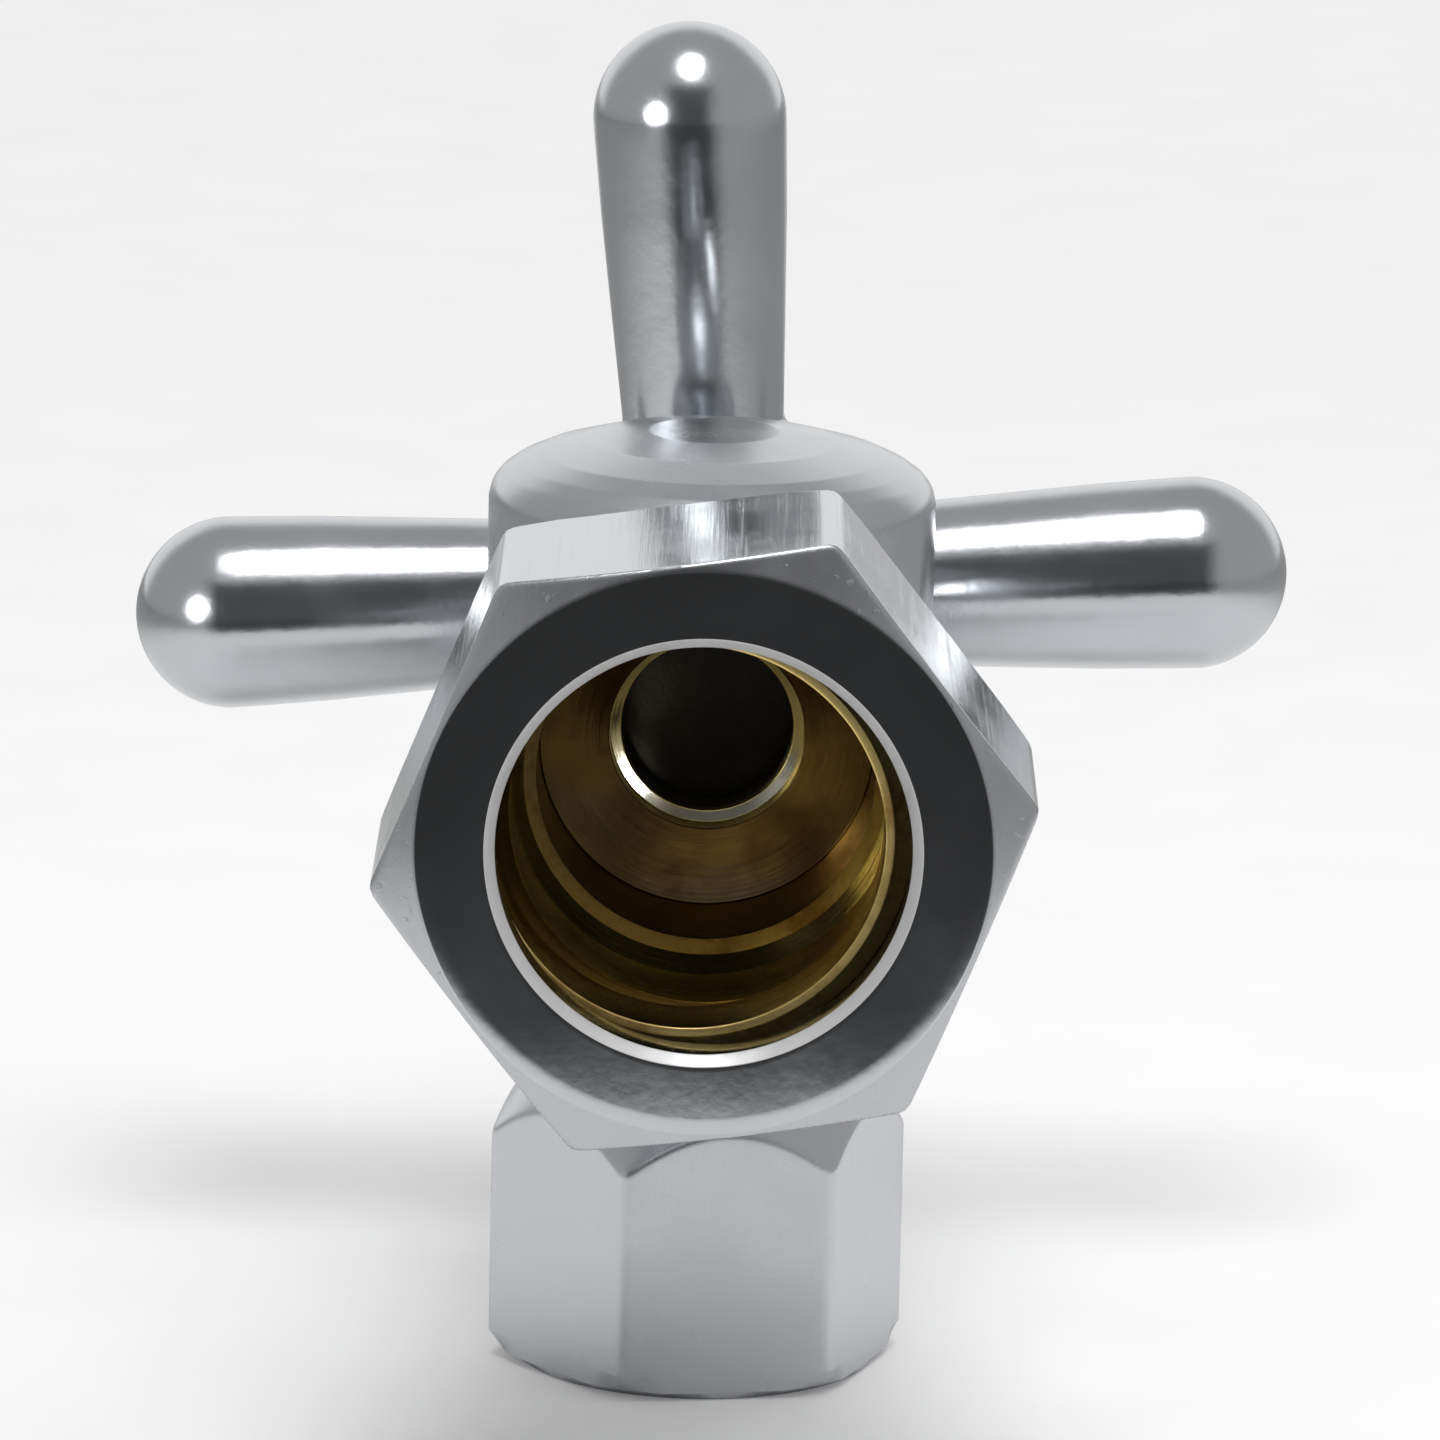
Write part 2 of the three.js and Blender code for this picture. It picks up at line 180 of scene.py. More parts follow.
def boolean(base, tool, operation):
    step = base.modifiers.new("step", "BOOLEAN")
    step.operation = operation
    step.solver = "EXACT"
    step.material_mode = "TRANSFER"
    step.object = tool
    bpy.context.view_layer.update()
    mesh = bpy.data.meshes.new_from_object(base.evaluated_get(bpy.context.evaluated_depsgraph_get()))
    base.modifiers.clear()
    old = base.data
    base.data = mesh
    mesh.name = base.name
    bpy.data.meshes.remove(old)
    bpy.data.objects.remove(tool)
    mesh.shade_smooth()
    mesh.set_sharp_from_angle(angle=math.radians(26))
    return base


def paint(piece, *materials):
    piece.data.materials.clear()
    for material in materials:
        piece.data.materials.append(material)
    return piece


def paint_zones(piece, zones):
    """Gives faces a finish by where their middle lies along Y: zones of (from, to, material)."""
    paint(piece, *[material for _, _, material in zones])
    for face in piece.data.polygons:
        station = (face.center.y - WORK.y) / MM
        for index, (start, end, _) in enumerate(zones):
            if start <= station <= end:
                face.material_index = index
    return piece


def even_normals(piece):
    weighted = piece.modifiers.new("even_normals", "WEIGHTED_NORMAL")
    weighted.keep_sharp = True
    weighted.weight = 60
    return piece


# ---------------------------------------------------------------- materials
class Nodes:
    """A small wrapper round a node tree that it clears first."""

    def __init__(self, tree, coordinates):
        self.tree = tree
        self.tree.nodes.clear()
        self.coords = self.add("TexCoord").outputs[coordinates]

    def add(self, kind):
        return self.tree.nodes.new("ShaderNode" + kind)

    def link(self, source, target):
        self.tree.links.new(source, target)

    def split(self):
        """The three coordinates, each as its own output."""
        node = self.add("SeparateXYZ")
        self.link(self.coords, node.inputs["Vector"])
        return node.outputs

    def choose(self, factor, first, second):
        """The first value where the factor is 0 and the second where it is 1."""
        node = self.add("Mix")
        node.data_type = "FLOAT"
        self.link(factor, node.inputs[0])
        for socket, value in zip(node.inputs[2:4], (first, second)):
            if isinstance(value, (int, float)):
                socket.default_value = value
            else:
                self.link(value, socket)
        return node.outputs[0]

    def scaled(self, scale):
        mapping = self.add("Mapping")
        mapping.inputs["Scale"].default_value = scale
        self.link(self.coords, mapping.inputs["Vector"])
        return mapping.outputs["Vector"]

    def noise(self, scale, detail=4.0, roughness=0.5):
        """Noise of so many grains to the metre, the same along each axis or one number for each."""
        scale = scale if isinstance(scale, tuple) else (scale,) * 3
        node = self.add("TexNoise")
        node.inputs["Scale"].default_value = 1.0
        node.inputs["Detail"].default_value = detail
        node.inputs["Roughness"].default_value = roughness
        self.link(self.scaled(scale), node.inputs["Vector"])
        return node.outputs["Fac"]

    def ramp(self, value, stops):
        node = self.add("ValToRGB")
        while len(node.color_ramp.elements) < len(stops):
            node.color_ramp.elements.new(0.5)
        for element, (position, colour) in zip(node.color_ramp.elements, stops):
            element.position = position
            element.color = (*colour, 1)
        self.link(value, node.inputs["Fac"])
        return node.outputs["Color"]

    def span(self, value, low_in, high_in, low_out, high_out, smooth=False):
        node = self.add("MapRange")
        node.interpolation_type = "SMOOTHSTEP" if smooth else "LINEAR"
        for socket, number in zip(("From Min", "From Max", "To Min", "To Max"),
                                  (low_in, high_in, low_out, high_out)):
            node.inputs[socket].default_value = number
        self.link(value, node.inputs["Value"])
        return node.outputs["Result"]

    def maths(self, operation, a, b=None):
        node = self.add("Math")
        node.operation = operation
        for socket, value in zip(node.inputs, (a, b)):
            if isinstance(value, (int, float)):
                socket.default_value = value
            elif value is not None:
                self.link(value, socket)
        return node.outputs["Value"]

    def bump(self, height, strength, distance, under=None):
        node = self.add("Bump")
        node.inputs["Strength"].default_value = strength
        node.inputs["Distance"].default_value = distance
        self.link(height, node.inputs["Height"])
        if under is not None:
            self.link(under, node.inputs["Normal"])
        return node.outputs["Normal"]


class Surface(Nodes):
    """A material's node tree, with one Principled shader."""

    def __init__(self, name):
        self.material = bpy.data.materials.new(name)
        self.material.use_nodes = True
        super().__init__(self.material.node_tree, "Object")
        self.shader = self.add("BsdfPrincipled")
        self.link(self.shader.outputs["BSDF"], self.add("OutputMaterial").inputs["Surface"])

    def set(self, **values):
        for name, value in values.items():
            self.shader.inputs[name.replace("_", " ")].default_value = value


def chrome(name, tone=(0.615, 0.635, 0.66), rough=(0.05, 0.11), peel=0.05, wave=0.0, streak=None, pits=0.0,
           metal=1.0):
    """Plated metal: cloudy roughness, orange peel, and on request fine waves, streaks and tiny pits."""
    n = Surface(name)
    n.set(Metallic=metal)
    cloud = n.noise(260, detail=5)
    n.link(n.ramp(cloud, [(0.3, tuple(c * 0.94 for c in tone)), (0.75, tone)]), n.shader.inputs["Base Color"])
    level = n.span(cloud, 0.3, 0.7, rough[0], rough[1])
    normal = n.bump(n.noise(420, detail=2), peel, 0.00006)
    if wave:
        normal = n.bump(n.noise(1150, detail=3), wave, 0.00003, normal)
    if streak:
        lines = n.noise(streak, detail=6, roughness=0.7)
        level = n.maths("ADD", level, n.span(lines, 0.5, 0.72, 0.0, 0.14))
        normal = n.bump(lines, 0.14, 0.00005, normal)
    if pits:
        spots = n.span(n.noise(2400, detail=2), 0.66, 0.76, 0.0, 1.0)
        level = n.maths("ADD", level, n.maths("MULTIPLY", spots, pits))
        normal = n.bump(spots, 0.3, 0.00003, normal)
    n.link(level, n.shader.inputs["Roughness"])
    n.link(normal, n.shader.inputs["Normal"])
    return n.material


def brass(name, tone, rough):
    """Bare brass: stains that darken and roughen it, and turning marks across the Y axis."""
    n = Surface(name)
    n.set(Metallic=1.0)
    rings = n.noise((0, 5200, 0), detail=3, roughness=0.6)
    stain = n.noise(300, detail=6, roughness=0.65)
    dark = tuple(c * k for c, k in zip(tone, (0.55, 0.45, 0.35)))
    n.link(n.ramp(stain, [(0.32, dark), (0.52, tone), (0.8, tuple(min(1, c * 1.2) for c in tone))]),
           n.shader.inputs["Base Color"])
    level = n.maths("ADD", n.span(stain, 0.3, 0.7, rough + 0.12, rough - 0.04),
                    n.span(rings, 0.3, 0.7, 0.0, 0.08))
    n.link(level, n.shader.inputs["Roughness"])
    n.link(n.bump(rings, 0.35, 0.00004), n.shader.inputs["Normal"])
    return n.material


def soft(name, tone, rough, grain_scale, lift, strength=0.4, sheen=0.0):
    """Rubber, fibre or PTFE with a fine grain; lift is how much lighter the grain's high spots are."""
    n = Surface(name)
    n.set(Metallic=0.0, Sheen_Weight=sheen)
    grain = n.noise(grain_scale, detail=7, roughness=0.65)
    n.link(n.ramp(grain, [(0.3, tone), (0.75, tuple(min(1, c * lift) for c in tone))]),
           n.shader.inputs["Base Color"])
    n.link(n.span(grain, 0.3, 0.7, rough - 0.08, rough + 0.08), n.shader.inputs["Roughness"])
    n.link(n.bump(grain, strength, 0.00006), n.shader.inputs["Normal"])
    return n.material


CHROME_BODY = chrome("chrome_body", rough=(0.20, 0.30), peel=0.08, wave=0.10)
CHROME_NUT = chrome("chrome_nut", rough=(0.10, 0.18), peel=0.05, streak=(3400, 60, 3400))
CHROME_FACE = chrome("chrome_face", rough=(0.08, 0.13), peel=0.05, wave=0.12)
CHROME_BEVEL = chrome("chrome_bevel", tone=(0.58, 0.59, 0.61), rough=(0.24, 0.34), wave=0.3, pits=0.15)
CHROME_EDGE = chrome("chrome_edge", tone=(0.74, 0.74, 0.75), rough=(0.34, 0.5), wave=1.0, pits=0.3,
                     metal=0.4)
CHROME_SATIN = chrome("chrome_satin", tone=(0.66, 0.67, 0.70), rough=(0.24, 0.34), peel=0.05)
CHROME_HANDLE = chrome("chrome_handle", rough=(0.15, 0.23), peel=0.12, wave=0.4)
CHROME_CAP = chrome("chrome_cap", rough=(0.05, 0.10), peel=0.05)
BRASS_SOCKET = brass("brass_socket", tone=(0.70, 0.57, 0.23), rough=0.09)
BRASS_STEP = brass("brass_step", tone=(0.95, 0.76, 0.34), rough=0.34)
# Painted shade: the waterway, chamber, outlet drop and seat cone get far darker brass tones than the socket
# and step, for the shade deep inside the casting.
BRASS_BORE_SHADE = brass("brass_bore_shade", tone=(0.25, 0.18, 0.095), rough=0.08)
BRASS_CONE_SHADE = brass("brass_cone_shade", tone=(0.14, 0.10, 0.06), rough=0.07)
BRASS_SEAT = brass("brass_seat", tone=(0.92, 0.88, 0.70), rough=0.06)
BRASS_RING = brass("brass_ring", tone=(0.95, 0.72, 0.28), rough=0.34)
BRASS_PART = brass("brass_part", tone=(0.74, 0.58, 0.27), rough=0.2)
STEEL = chrome("steel", tone=(0.55, 0.55, 0.56), rough=(0.22, 0.32), peel=0.05, streak=(2600, 400, 2600))
RUBBER = soft("rubber", (0.012, 0.012, 0.012), 0.36, 1800, 2.2)
FIBRE = soft("fibre", (0.045, 0.042, 0.04), 0.85, 2600, 1.9, 0.8, 0.2)
PTFE = soft("ptfe", (0.78, 0.77, 0.73), 0.45, 1200, 1.12, 0.25)


# ---------------------------------------------------------------- hex nuts
def corner_radius(flats):
    return flats / math.sqrt(3)


def hex_radius(angle, flats, sharpness):
    """Radius of a hexagon with softly rounded corners; a corner lies at angle 0."""
    total = 0.0
    for k in range(6):
        c = math.cos(angle - math.radians(30 + 60 * k))
        if c > 0.3:
            total += c ** sharpness
    return flats / 2 * total ** (-1 / sharpness)


def blend_min(a, b, power):
    """The smaller of two radii, with a soft change from one to the other."""
    return (a ** -power + b ** -power) ** (-1 / power)


def hex_nut(name, outer, inner, flats, corner_turn, axis, sides=288, sharpness=88, power=220):
    """outer: (station, bevel radius) pairs of the turned bevels; inner: the bore's section, back to the
    start. A point of outer inside the flats stays round."""
    split = len(outer)

    def shape(angle, station, radius, index):
        if index >= split or radius < flats / 2 - 0.35:
            return radius
        return blend_min(hex_radius(angle, flats, sharpness), radius, power)

    return turned(name, outer + inner, axis, sides, shape, closed=True, turn=corner_turn)


def ramp_stations(start, end, count):
    """Stations and radii spaced evenly from one (station, radius) pair to the other."""
    return [(start[0] + (end[0] - start[0]) * k / count, start[1] + (end[1] - start[1]) * k / count)
            for k in range(count + 1)]


def inlet_nut():
    """The large nut; its front bevel, flat face and worn mouth each have their own finish."""
    corner = corner_radius(INLET_NUT_FLATS)
    outer = [(NUT_FACE, 9.4), (NUT_FACE, 11.0), (NUT_FACE, NUT_BEVEL_R)]
    outer += ramp_stations((NUT_FACE + 0.015, NUT_BEVEL_R + 0.1), (NUT_FACE + 0.95, corner + 0.25), 18)
    outer += [(s, 15.5) for s in (-29.8, -29.2, -28.0, -26.0, -23.5, -21.0, -19.6, -19.1)]
    outer += ramp_stations((NUT_BACK - 0.55, corner + 0.2), (NUT_BACK - 0.02, corner - 0.75), 8)
    outer += [(NUT_BACK, corner - 1.3), (NUT_BACK, 11.3)]
    inner = fillet([
        (NUT_BACK, 11.2), (NUT_BACK, NUT_THREAD_R + 0.4, 0.1), (NUT_BACK - 0.5, NUT_THREAD_R, 0.1),
        (-26.62, NUT_THREAD_R, 0.2), (-28.7, NUT_BORE_R, 0.15), (-30.55, NUT_BORE_R, 0.1),
        (NUT_FACE, 8.87, 0.06), (NUT_FACE, 9.1)], 0.1, 4)
    nut = hex_nut("inlet_nut_shell", outer, inner, INLET_NUT_FLATS, math.radians(90 - INLET_NUT_TURN), "Y")
    paint(nut, CHROME_NUT, CHROME_FACE, CHROME_BEVEL, CHROME_EDGE)
    for face in nut.data.polygons:
        station = (face.center.y - WORK.y) / MM
        radius = math.hypot(face.center.x - WORK.x, face.center.z - WORK.z) / MM
        if station < NUT_FACE + 0.01 and radius > NUT_EDGE_R:
            face.material_index = 1
        elif station < NUT_FACE + 1.0 and radius > NUT_BEVEL_R and face.normal.y < -0.6:
            face.material_index = 2
        elif station < NUT_FACE + 0.5 and radius < NUT_EDGE_R:
            face.material_index = 3
    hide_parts("inlet_nut")
    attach(nut, "inlet_coupling")
    return nut


def outlet_nut():
    corner = corner_radius(OUTLET_NUT_FLATS)
    bottom, top = OUTLET_NUT_BOTTOM, OUTLET_NUT_TOP
    outer = fillet([(bottom, 6.0), (bottom, corner - 1.5, 0.5), (-29.3, corner - 0.7, 0.5),
                    (-28.5, corner + 0.12, 0.8), (-27.6, corner + 0.9)], 0.5, 5)
    outer += [(s, 10.6) for s in (-27.2, -26.0, -24.0, -22.0, -20.9, -20.3)]
    outer += ramp_stations((-20.0, corner + 0.27), (-17.45, corner - 1.48), 16)
    outer += [(top - 0.07, corner - 1.68), (top, corner - 1.85)]
    inner = fillet([(top, 7.3), (top, 7.03, 0.05), (-26.7, 7.03, 0.2), (-28.5, 4.95, 0.15),
                    (-29.3, 4.95, 0.1), (bottom, 5.35, 0.05), (bottom, 5.6)], 0.1, 4)
    nut = hex_nut("outlet_nut_shell", outer, inner, OUTLET_NUT_FLATS, math.radians(OUTLET_NUT_TURN), "Z",
                  sharpness=70, power=160)
    paint(nut, CHROME_SATIN)
    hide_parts("outlet_nut")
    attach(nut, "outlet_coupling")
    return nut


def packing_nut():
    corner = corner_radius(PACKING_NUT_FLATS)
    front, back = PACKING_NUT_FRONT, PACKING_NUT_BACK
    outer = [(front, 5.8), (front + 0.02, corner - 0.5)]
    outer += ramp_stations((front + 0.06, corner - 0.25), (front + 0.2, corner + 0.2), 4)
    outer += [(s, 9.0) for s in (14.0, 14.6, 15.2, 15.6)]
    outer += ramp_stations((back - 0.75, corner + 0.2), (back - 0.03, corner - 1.05), 10)
    outer += [(back, corner - 1.3), (back, 4.0)]
    inner = fillet([(back, 3.0), (back, 2.7, 0.1), (back - 0.75, 2.7, 0.05), (back - 0.75, 5.36, 0.1),
                    (front, 5.36, 0.1), (front, 5.6)], 0.1, 3)
    nut = hex_nut("packing_nut_shell", outer, inner, PACKING_NUT_FLATS, math.radians(90), "Y", 192, 80, 200)
    paint(nut, CHROME_CAP)
    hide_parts("packing_nut")
    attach(nut, "valve")
    return nut


# ---------------------------------------------------------------- valve body
def thread(pitch, depth, start, end):
    """Radius change of a helical thread that fades in and out at its ends."""
    def shape(angle, station, radius, index):
        if not start < station < end or radius < 9.5:
            return radius
        phase = (station / pitch + angle / (2 * math.pi)) % 1.0
        groove = abs(phase * 2 - 1)
        fade = min(1.0, (station - start) / 0.5, (end - station) / 0.5)
        return radius - depth * fade * (1 - groove) ** 1.2
    return shape


def inlet_bore():
    """The tool for the bores along Y: socket, step, waterway, seat hole, chamber and the bore for the bonnet.
    """
    lip = SEAT_LIP
    tool = turned("tool", fillet([
        (INLET_END - 1, 0), (INLET_END - 1, 10.3), (SOCKET_MOUTH, SOCKET_R, 0.1), (SOCKET_END, SOCKET_R, 0.3),
        (STEP_START, STEP_R, 0.05), (WATERWAY_START, WATERWAY_R, 0.08), (WATERWAY_END, WATERWAY_R, 0.1),
        (SEAT_HOLE_START, SEAT_HOLE_R, 0.06), (SEAT_SHOULDER, SEAT_HOLE_R, 0.05),
        (SEAT_SHOULDER + 0.11, SEAT_BORE_R + 0.06, 0.1), (SEAT_SHOULDER + 0.4, SEAT_BORE_R, 0.08),
        (lip - 0.4, SEAT_BORE_R, 0.1), (lip, SEAT_BORE_R + 0.4, 0.05), (lip, 5.0, 0.1),
        (CHAMBER_START, 5.5, 0.2), (CHAMBER_START, CHAMBER_R, 0.3), (CHAMBER_END, CHAMBER_R, 0.05),
        (CHAMBER_END, BONNET_BORE_R, 0.05), (BRANCH_END + 1, BONNET_BORE_R), (BRANCH_END + 1, 0)],
        0.1, 4), "Y", 192)
    # Painted shade: the darkened brass goes on the mouth, waterway, cone and chamber zones of the one brass
    # bore.
    return paint_zones(tool, [
        (INLET_END - 2, SOCKET_MOUTH - 0.05, BRASS_BORE_SHADE), (SOCKET_MOUTH - 0.05, STEP_START, BRASS_SOCKET),
        (STEP_START, WATERWAY_START, BRASS_STEP), (WATERWAY_START, WATERWAY_END, BRASS_BORE_SHADE),
        (WATERWAY_END, SEAT_SHOULDER - 0.1, BRASS_CONE_SHADE),
        (SEAT_SHOULDER - 0.1, SEAT_SHOULDER + 0.3, BRASS_SEAT),
        (SEAT_SHOULDER + 0.3, BRANCH_END + 2, BRASS_BORE_SHADE)])


def valve_body():
    """The casting: barrel, inlet neck with its thread, outlet neck and stem branch, less the bores."""
    top, bottom = BARREL_TOP, BARREL_BOTTOM
    barrel = turned("body_casting", fillet([
        (bottom, 0), (bottom, BARREL_R, 0.9), (top - 3.1, BARREL_R, 0), (top - 2.45, 9.51),
        (top - 1.95, 9.11), (top - 1.5, 8.46), (top - 1.05, 7.46), (top - 0.5, 5.46), (top - 0.12, 2.86),
        (top, 0)], 1.2, 6), "Z", 192)
    paint(barrel, CHROME_BODY, BRASS_BORE_SHADE)
    neck = [(0, 0), (0, NECK_R), (-13.9, NECK_R), (-14.05, NECK_R + 0.05), (-14.5, 10.3)]
    neck += [(-14.5 - 0.1 * k, INLET_THREAD_R) for k in range(1, 97)]
    neck += [(-24.3, 10.2), (INLET_END + 0.02, 9.95), (INLET_END, 9.8), (INLET_END, 0)]
    inlet = turned("tool", neck, "Y", 192, thread(INLET_PITCH, THREAD_DEPTH, -24.3, -14.7))
    boolean(barrel, paint(inlet, CHROME_BODY), "UNION")
    outlet = turned("tool", fillet([
        (-13.5, 0), (-13.5, 6.3), (-16.7, 6.3, 0.2), (-17.3, OUTLET_THREAD_R, 0.1),
        (OUTLET_END + 0.4, OUTLET_THREAD_R, 0.2), (OUTLET_END, OUTLET_THREAD_R - 0.4, 0.1),
        (OUTLET_END, 0)], 0.2, 4), "Z", 160)
    boolean(barrel, paint(outlet, CHROME_BODY), "UNION")
    branch = turned("tool", fillet([(0, 0), (0, BRANCH_R), (BRANCH_END, BRANCH_R, 0.6), (BRANCH_END, 0)],
                                   0.5, 6), "Y", 192)
    boolean(barrel, paint(branch, CHROME_BODY), "UNION")
    boolean(barrel, inlet_bore(), "DIFFERENCE")
    drop = turned("tool", fillet([
        (-26.2, 0), (-26.2, 6.9), (-24.15, OUTLET_SOCKET_R, 0.1), (-17.5, OUTLET_SOCKET_R, 0.1),
        (-16.8, OUTLET_WAY_R, 0.1), (-4.2, OUTLET_WAY_R), (-4.2, 0)], 0.1, 4), "Z", 128)
    boolean(barrel, paint(drop, BRASS_BORE_SHADE), "DIFFERENCE")
    even_normals(barrel)
    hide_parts("valve_body")
    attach(barrel, "valve")
    return barrel


# ---------------------------------------------------------------- cross handle
def arm_radius(a):
    """Radius of an arm at distance a from the hub's axis, before its round end."""
    stops = ((0, 3.2), (7, 3.58), (12.5, 3.90), (17.5, 4.19), (21.8, ARM_TIP_R))
    for (a0, r0), (a1, r1) in zip(stops, stops[1:]):
        if a <= a1:
            t = (a - a0) / (a1 - a0)
            return r0 + (r1 - r0) * t
    return ARM_TIP_R


def arm(turn):
    """One arm as its own shell, with a cast fillet where it leaves the round hub."""
    root = ARM_FILLET
    centre = ARM_REACH - ARM_TIP_R
    steps = [4.5] + [5.6 + 0.16 * k for k in range(22)] + [9.4 + 0.62 * k for k in range(1, 20)]
    profile = [(0, 0)] + [(a, arm_radius(a)) for a in steps]
    bands = 24
    for k in range(1, bands):
        angle = k / bands * math.pi / 2
        profile.append((centre + ARM_TIP_R * math.sin(angle), ARM_TIP_R * math.cos(angle)))
    profile.append((ARM_REACH, 0))

    def shape(angle, a, r, index):
        surface = math.sqrt(HUB_R ** 2 - (r * math.sin(angle)) ** 2)
        gap = a - surface
        if gap >= root or a > 12:
            return r
        gap = max(gap, 0.0)
        return r + root - math.sqrt(max(0.0, root ** 2 - (root - gap) ** 2))

    piece = turned("tool", profile, "Y", 96, shape)
    spin = Matrix.Rotation(turn, 4, "Y") @ Matrix.Rotation(-math.pi / 2, 4, "Z")
    piece.data.transform(Matrix.Translation(WORK + Vector((0, HANDLE_PLANE * MM, 0))) @ spin
                         @ Matrix.Translation(-WORK))
    return piece


def cross_handle():
    """One casting with four arms, a square socket for the stem in front and a round well behind."""
    turn = math.radians(HANDLE_TURN)
    hub = turned("handle_casting", fillet([
        (HUB_FRONT, 0), (HUB_FRONT, HUB_R, 0.7), (HUB_BACK, HUB_R, 0.9), (HUB_BACK, 0)], 0.7, 7), "Y", 160)
    paint(hub, CHROME_HANDLE)
    for quarter in range(4):
        boolean(hub, paint(arm(turn + quarter * math.pi / 2), CHROME_HANDLE), "UNION")
    well = turned("tool", fillet([
        (WELL_FLOOR, 0), (WELL_FLOOR, WELL_R, 0.1), (25.9, WELL_R, 0.1), (26.4, WELL_R + 0.4),
        (28, WELL_R + 0.4), (28, 0)], 0.1, 4), "Y", 128)
    boolean(hub, paint(well, CHROME_HANDLE), "DIFFERENCE")
    socket = turned("tool", [(16, 0), (16, 2.75), (17.5, 2.75), (17.5, 0)], "Y", 96)
    boolean(hub, paint(socket, CHROME_HANDLE), "DIFFERENCE")
    square = turned("tool", [(17.0, 0), (17.0, SQUARE_CORNER_R), (23, SQUARE_CORNER_R), (23, 0)], "Y", 4,
                    turn=turn + math.pi / 4)
    boolean(hub, paint(square, CHROME_HANDLE), "DIFFERENCE")
    even_normals(hub)
    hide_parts("cross_handle")
    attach(hub, "spindle")
    return hub


def index_button():
    """The plain cap over the handle screw: plug, groove for its ring, raised rim and low dome."""
    cap = turned("index_cap", fillet([
        (24.7, 0), (24.7, 3.8, 0.15), (25.0, 3.8, 0.05), (25.0, 3.3, 0.05), (25.8, 3.3, 0.05),
        (25.8, 3.9, 0.05), (26.3, 3.9, 0.05), (26.3, 5.7, 0.12), (26.75, 5.9, 0.3), (27.2, 5.35, 0.4),
        (27.25, 4.7, 0.1), (27.18, 4.4, 0.1), (27.3, 4.1, 0.2), (27.47, 1.8, 1.0), (27.5, 0)],
        0.2, 5), "Y", 160)
    paint(cap, CHROME_CAP)
    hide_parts("index_button")
    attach(cap, "spindle")
    return cap


# ---------------------------------------------------------------- rings and seals
def ring(name, section, axis, material, node, body, slot, soft_edge=0.1, sides=160):
    piece = turned(name, fillet(section, soft_edge, 5, closed=True), axis, sides, closed=True)
    paint(piece, material)
    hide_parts(node)
    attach(piece, body)
    return piece


def ferrules():
    """The two loose compression rings; the inlet one has a smooth inside wall and hangs to one side."""
    tube_ring = ring("inlet_ferrule_ring", [
        (-28.1, FERRULE_R), (-28.1, 8.4), (-27.7, 8.4), (-26.9, 9.15), (-25.2, 9.15), (-24.3, 8.25),
        (-24.3, FERRULE_R)], "Y", BRASS_RING, "inlet_ferrule", "inlet_ring", "ferrule_brass", 0.12, 192)
    tube_ring.data.materials.append(BRASS_SOCKET)
    for face in tube_ring.data.polygons:
        if math.hypot(face.center.x - WORK.x, face.center.z - WORK.z) < (FERRULE_R + 0.03) * MM:
            face.material_index = 1
    tube_ring.data.transform(Matrix.Translation((FERRULE_SIDE * MM, 0, 0)))
    ring("outlet_ferrule_ring", [
        (-28.2, 4.83), (-28.2, 5.02), (-27.3, 5.7), (-25.6, 5.7), (-24.75, 5.08), (-24.75, 4.83)],
        "Z", BRASS_RING, "outlet_ferrule", "outlet_ring", "ferrule_brass")


def rubber_parts():
    """The seat washer's disc and the ring that grips the index button."""
    washer = turned("seat_disc", fillet([(-4.7, 0), (-4.7, 5.5, 0.35), (-2.1, 5.5, 0.2), (-2.1, 0)], 0.3, 6),
                    "Y", 128)
    paint(washer, RUBBER)
    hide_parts("seat_washer")
    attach(washer, "seat_head")
    station, middle, thick, bands = 25.4, 3.72, 0.36, 20
    section = [(station + thick * math.sin(t), middle + thick * math.cos(t))
               for t in (2 * math.pi * k / bands for k in range(bands))]
    button = turned("button_o_ring", section, "Y", 96, closed=True)
    paint(button, RUBBER)
    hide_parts("button_ring")
    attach(button, "spindle")


def bonnet():
    """One turning: the plug in the body, the hexagonal flange and the packing box behind it."""
    corner = corner_radius(BONNET_FLATS)
    front, back = FLANGE_FRONT, FLANGE_BACK

    def shape(angle, station, radius, index):
        if front - 0.01 < station < back + 0.01 and radius > 8:
            return blend_min(hex_radius(angle, BONNET_FLATS, 80), radius, 200)
        return radius

    outer = [(5.3, 3.5), (5.3, 7.1), (5.6, 7.45), (5.8, 7.55), (10.8, 7.55), (11.1, 7.4), (11.5, 7.2),
             (front, 7.25), (front, 8.3), (front + 0.02, corner - 0.3), (front + 0.2, corner + 0.3)]
    outer += [(12.2, 12), (12.8, 12)]
    outer += ramp_stations((back - 0.45, corner + 0.2), (back - 0.02, corner - 0.75), 8)
    outer += [(back, 7.9), (back, 5.5), (13.5, 5.3), (15.1, 5.3), (15.35, 5.2), (15.55, 5.0), (15.6, 4.8)]
    inner = [(15.6, 4.5), (15.5, 4.32), (15.4, 4.3), (11.25, 4.3), (11.2, 4.2), (11.2, 3.8), (11.15, 3.7),
             (8.55, 3.7), (8.5, 3.6), (8.5, 3.4), (8.4, 3.38), (5.45, 3.38)]
    piece = turned("bonnet_turning", outer + inner, "Y", 240, shape, closed=True, turn=math.pi / 2)
    paint(piece, CHROME_CAP)
    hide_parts("bonnet")
    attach(piece, "valve")
    return piece


